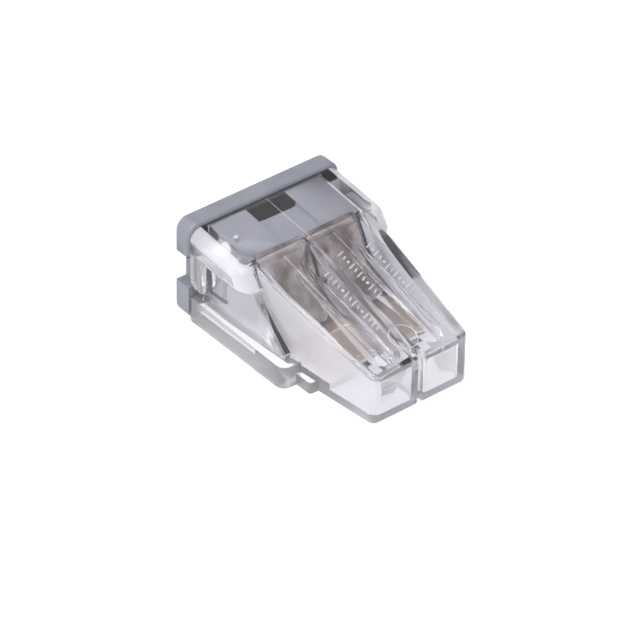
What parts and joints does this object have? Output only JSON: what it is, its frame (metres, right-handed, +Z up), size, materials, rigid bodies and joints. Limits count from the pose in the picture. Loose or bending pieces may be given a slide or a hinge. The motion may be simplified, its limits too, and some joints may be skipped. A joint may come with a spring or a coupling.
{
  "type": "push-in wire connector",
  "caption": "Small push-in connector for joining two stripped conductors: clear sloped housing, grey entry cover, spring leaves pressing onto a common busbar.",
  "frame": {"origin": "centre of the base, under the middle of the connector's length", "axes": "+Y out of the entry face, along the conductors; +Z up from the base; X across the two conductors"},
  "size_m": [0.0142, 0.0198, 0.0085],
  "materials": {
    "clear_plastic": "clear moulded polycarbonate, polished",
    "grey_plastic": "moulded polycarbonate, fine satin",
    "tinned_copper": "tin-plated copper, dull bright",
    "spring_steel": "stainless spring strip, rolled"
  },
  "bodies": {
    "connector": {"housing": "clear_plastic", "entry_cover": "grey_plastic", "busbar": "tinned_copper", "left_spring": "spring_steel", "right_spring": "spring_steel"},
    "left_leaf": {"left_clamping_leaf": "spring_steel"},
    "right_leaf": {"right_clamping_leaf": "spring_steel"}
  },
  "joints": [
    {"name": "left_leaf_bend", "type": "hinge", "parent": "connector", "child": "left_leaf", "pos_m": [-0.00237, 0.00335, 0.0065], "axis": [-1, 0, 0], "range_deg": [0, 23], "stiffness_Nm_per_rad": 0.01, "springref_deg": -11.46},
    {"name": "right_leaf_bend", "type": "hinge", "parent": "connector", "child": "right_leaf", "pos_m": [0.00237, 0.00335, 0.0065], "axis": [-1, 0, 0], "range_deg": [0, 23], "stiffness_Nm_per_rad": 0.01, "springref_deg": -11.46}
  ]
}
